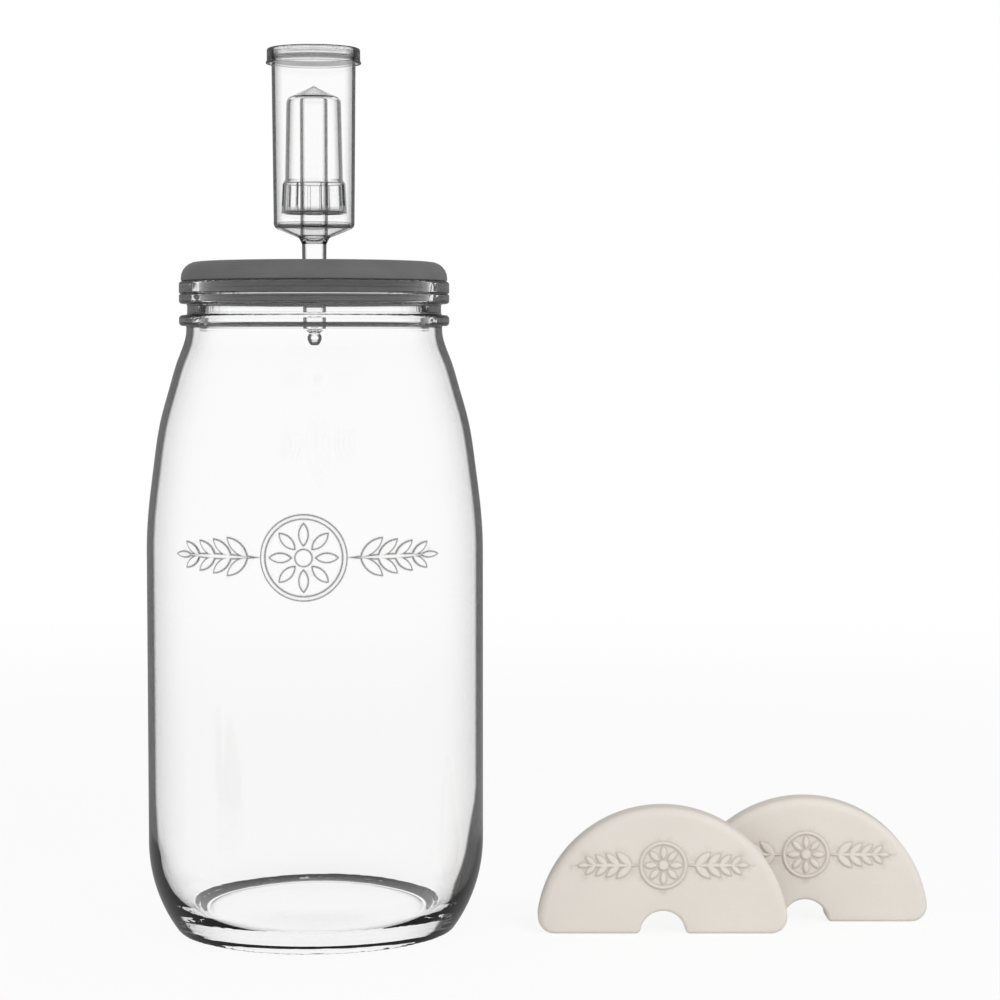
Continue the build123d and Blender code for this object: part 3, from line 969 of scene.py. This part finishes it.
class FERMENT_OT_lid(bpy.types.Operator):
    """Build the silicone lid with its plug, sealing ribs and the boss that holds the airlock"""

    bl_idname = "ferment.lid"
    bl_label = "Lid"

    def execute(self, context):
        sizes = context.scene.ferment_lid
        outline = self.arched(rounded(lifted(self.ribbed(sizes.rib_reach / MM), RIM)))
        points, _, faces = turned(braced(outline), even_angles(sizes.columns), loop=True)
        silicone = moulded_material(
            "Lid Silicone", sizes.colour, blotch=1.35, amount=0.55, roughness=0.52,
            grain_depth=0.00006, blotch_size=55.0, grain_size=2600.0,
            finish={"Specular IOR Level": 0.45, "Sheen Weight": 0.12, "Sheen Roughness": 0.4},
        )
        new_piece("lid_silicone", points, faces, silicone, "lid", ["silicone_lid"])
        return {"FINISHED"}

    def ribbed(self, reach):
        """The lid's corners, with the sealing ribs let into its plug."""
        corners = list(LID[:4])
        for rib in LID_RIBS:
            top, bottom = rib + RIB_HALF, rib - RIB_HALF
            corners += [(PLUG, top, 0.25), (reach, top, 0.6), (reach, bottom, 0.6), (PLUG, bottom, 0.25)]
        return corners + list(LID[4:])

    def arched(self, outline):
        """The lid's outline with its flat top slightly arched."""
        top = RIM + LID[0][1]
        start, end = (
            min(range(len(outline)), key=lambda index: math.dist(outline[index], (radius, top)))
            for radius in (ARCH_START, ARCH_END)
        )
        radii = np.linspace(ARCH_START, ARCH_END, ARCH_ROWS + 1)[1:-1]
        arch = [(radius, top - ARCH_FALL * (radius / ARCH_END) ** 2) for radius in radii]
        return outline[: start + 1] + arch + outline[end:]


class FERMENT_OT_airlock(bpy.types.Operator):
    """Build the airlock: the chamber with its tube and stem, the slotted bell in it and the cap on it"""

    bl_idname = "ferment.airlock"
    bl_label = "Airlock"

    def execute(self, context):
        sizes = context.scene.ferment_airlock
        clear = clear_material(
            "Airlock Plastic", sizes.clear_colour, sizes.edge_shade_colour,
            fade=0.7, ior=1.46, roughness=0.015, shadow=0.95, wave=0.02,
        )
        cap = clear_material(
            "Cap Plastic", sizes.cap_colour, sizes.edge_shade_colour,
            fade=0.6, ior=1.46, roughness=0.08, shadow=0.8, wave=0.05,
        )
        self.build_body(clear, sizes)
        self.build_bell(clear, sizes)
        self.build_cap(cap, sizes)
        return {"FINISHED"}

    def build_body(self, material, sizes):
        """The chamber, the tube in it, and the stem with its round tip."""
        start, end = math.asin(TIP_BORE / TIP_RADIUS), math.pi - math.asin(TIP_NECK / TIP_RADIUS)
        turns = np.linspace(start, end, TIP_ROWS + 1)
        tip = [(TIP_RADIUS * math.sin(turn), TIP_LEVEL - TIP_RADIUS * math.cos(turn), 0) for turn in turns]
        outline = braced(rounded(lifted([*tip, *STEM_AND_CHAMBER], CHAMBER_RIM)))
        points, rings, faces = turned(outline, even_angles(sizes.columns), loop=True)
        # Painted dark edges and painted dark lines of shade on the airlock body
        masks = {
            "edge": spread([self.edge_at(*point) for point in outline], rings, len(points)),
            "outline": spread([self.line_at(*point) for point in outline], rings, len(points)),
        }
        new_piece(
            "airlock_chamber", points, faces, material,
            "airlock", ["airlock_body"], 60, masks,
        )

    def edge_at(self, radius, height):
        """Where painted shade darkens the airlock body: on its outside and on the outside of the tube in it.
        """
        above = height - CHAMBER_RIM
        if above < STEM_TOP:
            return edge_facing(radius, STEM_BAND) if radius > STEM_WALL or above < TIP_TOP else NO_EDGE
        if radius < TUBE_WALL or (FLOOR_START < radius < CHAMBER_WALL and above > FLOOR_TOP):
            return NO_EDGE
        if radius < TUBE_REACH and above > TUBE_FOOT:
            return edge_facing(radius, TUBE_BAND)
        return CONE_EDGE if above < CONE_TOP else edge_facing(radius, CHAMBER_BAND)

    def line_at(self, radius, height):
        """How dark the painted shade lines on the airlock body are."""
        for radii, levels, darkness in BODY_LINES:
            if radii[0] < radius < radii[1] and levels[0] < height - CHAMBER_RIM < levels[1]:
                return darkness
        return 0.0

    def build_bell(self, material, sizes):
        """The inverted cup, with its slots built into the grid of faces."""
        sector = 2 * math.pi / SLOTS
        bar = sector - 2 * SLOT_HALF
        angles = []
        for index in range(SLOTS):
            middle = FRONT + index * sector + sector / 2
            angles += [middle + SLOT_HALF * part for part in np.linspace(-1, 1, SLOT_COLUMNS + 1)[:-1]]
            angles += [middle + SLOT_HALF + bar * part for part in np.linspace(0, 1, BAR_COLUMNS + 1)[:-1]]
        levels = np.linspace(*SLOT_LEVELS, SLOT_ROWS + 1).tolist()

        def skirt(height, inward):
            return SKIRT_RADIUS - SKIRT_DRAW * height / SKIRT_TOP - inward, height

        foot = rounded(BELL_FOOT_CORNERS, closed=False)
        outside = [skirt(height, 0.0) for height in levels]
        outside += braced(rounded(BELL_OUTSIDE, closed=False), closed=False)[1:]
        inside = braced(rounded(BELL_INSIDE, closed=False), closed=False)[1:][::-1]
        inside += [skirt(height, SKIRT_WALL) for height in reversed(levels)]
        profile = foot + outside + inside
        outline = [(radius, BELL_FOOT + height) for radius, height in profile]
        low, inner_low = len(foot), len(outline) - 1
        high, inner_high = low + SLOT_ROWS, inner_low - SLOT_ROWS
        columns = SLOT_COLUMNS + BAR_COLUMNS

        def in_slot(row, column):
            within = low <= row < high or inner_high <= row < inner_low
            return within and column % columns < SLOT_COLUMNS

        points, rings, faces = turned(outline, angles, loop=True, left_out=in_slot)

        def add_face(*corners):
            faces.append(tuple(rings[row][column] for row, column in corners))

        slot_sides = []
        for first in range(0, len(angles), columns):
            for column in (first, first + SLOT_COLUMNS):
                slot_sides.append(column)
                for outer, inner in zip(range(low, high), range(inner_low, inner_high, -1)):
                    add_face((outer, column), (outer + 1, column), (inner - 1, column), (inner, column))
            for outer, inner in ((low, inner_low), (high, inner_high)):
                for column in range(first, first + SLOT_COLUMNS):
                    add_face((outer, column), (outer, column + 1), (inner, column + 1), (inner, column))

        # Painted dark edges of shade on the bell's outside, and painted dark lines of shade along its foot,
        # its skirt and its slot sides
        walls = [
            edge_facing(radius, BELL_BAND) if height < ROOF_LEVEL else ROOF_EDGE
            for radius, height in foot + outside
        ]
        edges = spread(walls + [NO_EDGE] * len(inside), rings, len(points))
        lines = np.zeros(len(points))
        for row, (radius, height) in enumerate(profile):
            outside_skirt = row < inner_high and radius > SKIRT_LINE_RADIUS
            if height < FOOT_LINE or (outside_skirt and SKIRT_LINE[0] < height < SKIRT_LINE[1]):
                lines[rings[row]] = 1.0
            elif SLOT_LEVELS[0] <= height <= SLOT_LEVELS[1]:
                lines[[rings[row][column] for column in slot_sides]] = 1.0
        masks = {"edge": edges, "outline": lines}
        new_piece(
            "airlock_bell_cup", points, faces, material,
            "bell", ["airlock_bell"], 50, masks,
        )

    def build_cap(self, material, sizes):
        """The cap, with round vents through its flat top."""
        outline = braced(rounded(lifted(CAP, CAP_TOP), closed=False), closed=False)
        points, rings, faces = turned(outline, even_angles(sizes.columns))
        vents = []
        for turn in (FRONT + index * math.pi / (VENTS / 2) for index in range(VENTS)):
            x, y = VENT_PLACE * math.cos(turn), VENT_PLACE * math.sin(turn)
            round_it = [step * math.pi / (VENT_POINTS / 2) for step in range(VENT_POINTS)]
            vents.append([(x + VENT_RADIUS * math.cos(a), y + VENT_RADIUS * math.sin(a)) for a in round_it])
        centres = [np.mean(vent, axis=0) for vent in vents]
        inner = [spot for vent in vents for spot in vent]
        starts = []
        for ring, height in ((rings[0], outline[0][1]), (rings[-1], outline[-1][1])):
            loop = [(points[number][0] / MM, points[number][1] / MM) for number in ring]
            starts.append(len(points))
            numbers = ring + list(range(len(points), len(points) + len(inner)))
            points += [(x * MM, y * MM, height * MM) for x, y in inner]
            for face in fill_loop(loop, inner, numbers):
                middle = np.mean([points[corner][:2] for corner in face], axis=0) / MM
                if min(np.hypot(*(middle - centre)) for centre in centres) > VENT_RADIUS - 0.02:
                    faces.append(face)
        for first in range(0, len(inner), VENT_POINTS):
            for step in range(VENT_POINTS):
                here, after = first + step, first + (step + 1) % VENT_POINTS
                faces.append((starts[0] + here, starts[0] + after, starts[1] + after, starts[1] + here))
        # Painted dark edges and painted shade bands on the cap's side
        edges = np.full(len(points), NO_EDGE)
        bands = np.zeros(len(points))
        for ring, (radius, height) in zip(rings, outline):
            if radius > CAP_SIDE:
                edges[ring] = edge_facing(radius, CAP_BAND)
                bands[ring] = np.interp(height - CAP_TOP, *CAP_BANDS)
        masks = {"edge": edges, "outline": bands}
        new_piece(
            "airlock_cap_top", points, faces, material,
            "cap", ["airlock_cap"], 40, masks,
        )


class FERMENT_OT_weights(bpy.types.Operator):
    """Build the two half-moon weights with the ornament raised on their faces"""

    bl_idname = "ferment.weights"
    bl_label = "Weights"

    def execute(self, context):
        sizes = context.scene.ferment_weights
        glaze = moulded_material(
            "Weight Glaze", sizes.colour, blotch=0.93, amount=0.6, roughness=0.42,
            grain_depth=0.00010, blotch_size=45.0, grain_size=900.0, hollow=sizes.hollow_shade_colour,
        )
        for node, body in (("weight_front", "weight_a"), ("weight_back", "weight_b")):
            low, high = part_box(node)
            thickness = (high[1] - low[1] - sizes.relief) / MM
            points, faces, mask = self.half_moon(thickness, sizes)
            points = points * MM + np.array([(low[0] + high[0]) / 2, high[1] - thickness * MM / 2, 0])
            points, masks = points.tolist(), {"outline": mask}
            new_piece(node + "_glazed", points, faces, glaze, body, [node], masks=masks)
        return {"FINISHED"}

    def half_moon(self, thickness, sizes):
        """Points in millimetres, faces and painted shade mask of a weight on its cut edge, facing the front.
        """
        outline, inward, share = self.outline()
        edge = (sizes.cut_edge + (sizes.arc_edge - sizes.cut_edge) * share) / MM
        turns = np.linspace(0, math.pi / 2, EDGE_ROWS + 1)
        rings, points, faces = [], [], []
        for side, way in ((-1, turns[::-1]), (1, turns)):
            for turn in way:
                flat = outline + inward * (edge * (1 - math.cos(turn)))[:, None]
                across = side * (thickness / 2 - edge + edge * math.sin(turn))
                rings.append(list(range(len(points), len(points) + len(flat))))
                points += [(x, y, z) for (x, z), y in zip(flat, across)]
        for low, high in zip(rings, rings[1:]):
            for column in range(len(outline)):
                after = (column + 1) % len(outline)
                faces.append((low[column], low[after], high[after], high[column]))

        inner, distance = self.face_points()
        height = sizes.relief / MM * relief_height(distance, softness=0.42)
        first = len(points)
        points += [(x, -(thickness / 2) - rise, z) for (x, z), rise in zip(inner, height)]
        for ring, within in ((rings[0], inner), (rings[-1], [])):
            loop = [(points[number][0], points[number][2]) for number in ring]
            faces += fill_loop(loop, within, ring + list(range(first, first + len(within))))
        # Painted shade in the hollow beside the ornament
        shade = np.clip(1.0 - np.abs(distance - HOLLOW_PLACE) / HOLLOW_HALF, 0, 1) * HOLLOW_DARKNESS
        return np.array(points), faces, np.concatenate([np.zeros(first), shade])

    def face_points(self):
        """Points on a weight's face, clear of its edges, and their distance to the ornament's outline."""

        def distance_at(x, y):
            return ornament_distance(x, y - WEIGHT_ORNAMENT[0], *WEIGHT_ORNAMENT[1:])

        low, high = (-FACE_REACH, 2.0), (FACE_REACH, FACE_HEIGHT)
        found = patch_points(low, high, distance_at, fine=0.40, coarse=2.2, reach=0.9)
        side, height = np.abs(found[:, 0]), found[:, 1]
        away = np.hypot(found[:, 0], height)
        inside = (away < FACE_RADIUS) & (away > FACE_NOTCH) & (height > FACE_FOOT)
        corner = np.hypot(side - FACE_CORNER[0], height - FACE_CORNER[1])
        inside &= ~((side > FACE_CORNER[0]) & (height < FACE_CORNER[1]) & (corner > FACE_CORNER_RADIUS))
        found = found[inside]
        return found, distance_at(found[:, 0], found[:, 1])

    def outline(self):
        """The half-moon's outline, the way inward at each point, and how far each belongs to the arc."""
        points, inward, share = [], [], []

        def arc(centre, size, start, end, steps, belongs, hollow=False):
            for part in np.linspace(0, 1, steps + 1)[:-1]:
                angle = start + (end - start) * part
                away = np.array([math.cos(angle), math.sin(angle)])
                points.append(np.array(centre) + size * away)
                inward.append(away if hollow else -away)
                share.append(belongs[0] + (belongs[1] - belongs[0]) * part)

        def run(start, end, steps):
            for part in np.linspace(0, 1, steps + 1)[:-1]:
                points.append(np.array(start) + (np.array(end) - np.array(start)) * part)
                inward.append(np.array((0.0, 1.0)))
                share.append(0.0)

        centre_x = math.sqrt((WEIGHT_RADIUS - WEIGHT_CORNER) ** 2 - WEIGHT_CORNER**2)
        lean = math.atan2(WEIGHT_CORNER, centre_x)
        notch_x = math.sqrt((NOTCH + NOTCH_CORNER) ** 2 - NOTCH_CORNER**2)
        notch_lean = math.atan2(NOTCH_CORNER, notch_x)
        right = math.pi / 2
        arc((centre_x, WEIGHT_CORNER), WEIGHT_CORNER, -right, lean, 10, (0, 1))
        arc((0, 0), WEIGHT_RADIUS, lean, math.pi - lean, 110, (1, 1))
        arc((-centre_x, WEIGHT_CORNER), WEIGHT_CORNER, math.pi - lean, 3 * right, 10, (1, 0))
        run((-centre_x, 0), (-notch_x, 0), 14)
        arc((-notch_x, NOTCH_CORNER), NOTCH_CORNER, -right, -notch_lean, 6, (0, 0))
        arc((0, 0), NOTCH, math.pi - notch_lean, notch_lean, 24, (0, 0), hollow=True)
        arc((notch_x, NOTCH_CORNER), NOTCH_CORNER, math.pi + notch_lean, 3 * right, 6, (0, 0))
        run((notch_x, 0), (centre_x, 0), 14)
        return np.array(points), np.array(inward), np.array(share)


class FERMENT_OT_stage(bpy.types.Operator):
    """Set up the pale floor, the soft lamps, the white surroundings and the camera"""

    bl_idname = "ferment.stage"
    bl_label = "Floor, Lights and Camera"

    def execute(self, context):
        sizes = context.scene.ferment_stage
        scene = context.scene
        self.add_floor(scene, sizes)
        self.add_lamp(scene, "Key Lamp", (0.80, -0.85, 0.95), 0.9, sizes.key_power)
        self.add_lamp(scene, "Fill Lamp", (-1.0, -0.45, 0.55), 0.7, sizes.fill_power)
        self.set_world(scene, sizes)
        camera = bpy.data.objects.new("Camera", bpy.data.cameras.new("Camera"))
        camera.data.lens = sizes.lens
        camera.data.sensor_width = 36.0
        camera.data.clip_start = 0.01
        camera.location = CAMERA_PLACE
        camera.rotation_euler = (CAMERA_TILT, 0, 0)
        scene.collection.objects.link(camera)
        scene.camera = camera
        scene.view_settings.view_transform = "Standard"
        scene.cycles.max_bounces = BOUNCES
        scene.cycles.transmission_bounces = BOUNCES
        return {"FINISHED"}

    def add_floor(self, scene, sizes):
        """A wide floor that is white far off and keeps the object's shadow near by."""
        angles = [2 * math.pi * corner / FLOOR_CORNERS for corner in range(FLOOR_CORNERS)]
        points = [(FLOOR_SIZE * math.cos(angle), FLOOR_SIZE * math.sin(angle), 0) for angle in angles]
        mesh = bpy.data.meshes.new("floor")
        mesh.from_pydata(points, [], [tuple(range(FLOOR_CORNERS))])
        floor = bpy.data.objects.new("floor", mesh)
        scene.collection.objects.link(floor)
        mesh.materials.append(self.floor_material(sizes.floor_colour))

    def floor_material(self, colour):
        """Paper that glows white for the eye and through glass, less near by, and is dim in reflections."""
        material, tree, output = new_material("Floor Paper")
        colours = {"Colour": (*colour, 1), "Blotch Colour": (*(0.985 * part for part in colour), 1)}
        mottle = add_node(
            tree, "ShaderNodeGroup", (-300, 0), {**colours, "Blotch Size": 4.0}, node_tree=mottle_group()
        )
        paper = {"Base Color": mottle.outputs["Colour"], "Roughness": 0.9, "Specular IOR Level": 0.0}
        shader = add_node(tree, "ShaderNodeBsdfPrincipled", (0, 0), paper)
        path = add_node(tree, "ShaderNodeLightPath", (-900, 500)).outputs
        through = path["Is Transmission Ray"]
        mirrored = calculate(tree, (-450, -300), "SUBTRACT", path["Is Glossy Ray"], through)
        dimmed = remap(tree, (-250, -300), mirrored, 0.0, 1.0, 1.0, GLOSS_LEVEL, smooth=False)
        white = add_node(tree, "ShaderNodeEmission", (0, -300), {"Strength": dimmed})
        seen = calculate(tree, (-700, 500), "MAXIMUM", path["Is Camera Ray"], path["Is Glossy Ray"])
        seen = calculate(tree, (-500, 500), "MAXIMUM", seen, through)
        place = add_node(tree, "ShaderNodeTexCoord", (-900, 250)).outputs["Object"]
        away = add_node(tree, "ShaderNodeVectorMath", (-700, 250), {0: place}, operation="LENGTH")
        fade = remap(tree, (-500, 250), away.outputs["Value"], *FLOOR_FADE)
        share = calculate(tree, (-250, 400), "MULTIPLY", seen, fade)
        mixed = {0: share, 1: shader.outputs["BSDF"], 2: white.outputs["Emission"]}
        mix = add_node(tree, "ShaderNodeMixShader", (350, 0), mixed)
        tree.links.new(mix.outputs["Shader"], output.inputs["Surface"])
        return material

    def add_lamp(self, scene, name, place, size, power):
        """A soft square lamp that lights the object and isn't seen, mirrored or seen through glass."""
        light = bpy.data.lights.new(name, "AREA")
        light.shape = "SQUARE"
        light.size = size
        light.energy = power
        lamp = bpy.data.objects.new(name, light)
        lamp.location = place
        lamp.rotation_euler = (Vector(LAMP_TARGET) - Vector(place)).to_track_quat("-Z", "Y").to_euler()
        lamp.visible_camera = False
        lamp.visible_transmission = False
        lamp.visible_glossy = False
        scene.collection.objects.link(lamp)

    def set_world(self, scene, sizes):
        """Surroundings that are white for the eye, dim in reflections, and whiter low down through glass."""
        world = bpy.data.worlds.new("Surroundings")
        world.use_nodes = True
        scene.world = world
        tree = world.node_tree
        tree.nodes.clear()
        output = add_node(tree, "ShaderNodeOutputWorld", (700, 0))
        path = add_node(tree, "ShaderNodeLightPath", (-500, 200)).outputs
        place = add_node(tree, "ShaderNodeTexCoord", (-900, -100)).outputs["Generated"]
        height = add_node(tree, "ShaderNodeSeparateXYZ", (-700, -100), {0: place}).outputs["Z"]
        sky = remap(tree, (-500, -100), height, *SKY_FADE)
        glossy = blend(tree, (-200, 100), path["Is Glossy Ray"], sizes.ambient, GLOSS_LEVEL, "FLOAT")
        through = blend(tree, (0, 100), path["Is Transmission Ray"], glossy, sky, "FLOAT")
        seen = blend(tree, (200, 100), path["Is Camera Ray"], through, 1.0, "FLOAT")
        inputs = {"Color": (1, 1, 1, 1), "Strength": seen}
        background = add_node(tree, "ShaderNodeBackground", (450, 0), inputs)
        tree.links.new(background.outputs["Background"], output.inputs["Surface"])


class FERMENT_PT_panel(bpy.types.Panel):
    """Lists the settings and the operators that build each piece"""

    bl_idname = "FERMENT_PT_panel"
    bl_label = "Fermentation Jar"
    bl_space_type = "VIEW_3D"
    bl_region_type = "UI"
    bl_category = "Fermentation Jar"

    def draw(self, context):
        for settings, _, operator in STEPS:
            box = self.layout.box()
            group = getattr(context.scene, settings)
            for name in group.__annotations__:
                box.prop(group, name)
            box.operator(operator.bl_idname)


STEPS = (
    ("ferment_glass", GlassSettings, FERMENT_OT_glass_jar),
    ("ferment_lid", LidSettings, FERMENT_OT_lid),
    ("ferment_airlock", AirlockSettings, FERMENT_OT_airlock),
    ("ferment_weights", WeightSettings, FERMENT_OT_weights),
    ("ferment_stage", StageSettings, FERMENT_OT_stage),
)


def register():
    for name, group, operator in STEPS:
        bpy.utils.register_class(group)
        setattr(bpy.types.Scene, name, PointerProperty(type=group))
        bpy.utils.register_class(operator)
    bpy.utils.register_class(FERMENT_PT_panel)


def unregister():
    bpy.utils.unregister_class(FERMENT_PT_panel)
    for name, group, operator in reversed(STEPS):
        bpy.utils.unregister_class(operator)
        delattr(bpy.types.Scene, name)
        bpy.utils.unregister_class(group)


def main():
    register()
    bpy.ops.ferment.glass_jar()
    bpy.ops.ferment.lid()
    bpy.ops.ferment.airlock()
    bpy.ops.ferment.weights()
    bpy.ops.ferment.stage()


if __name__ == "__main__":
    main()
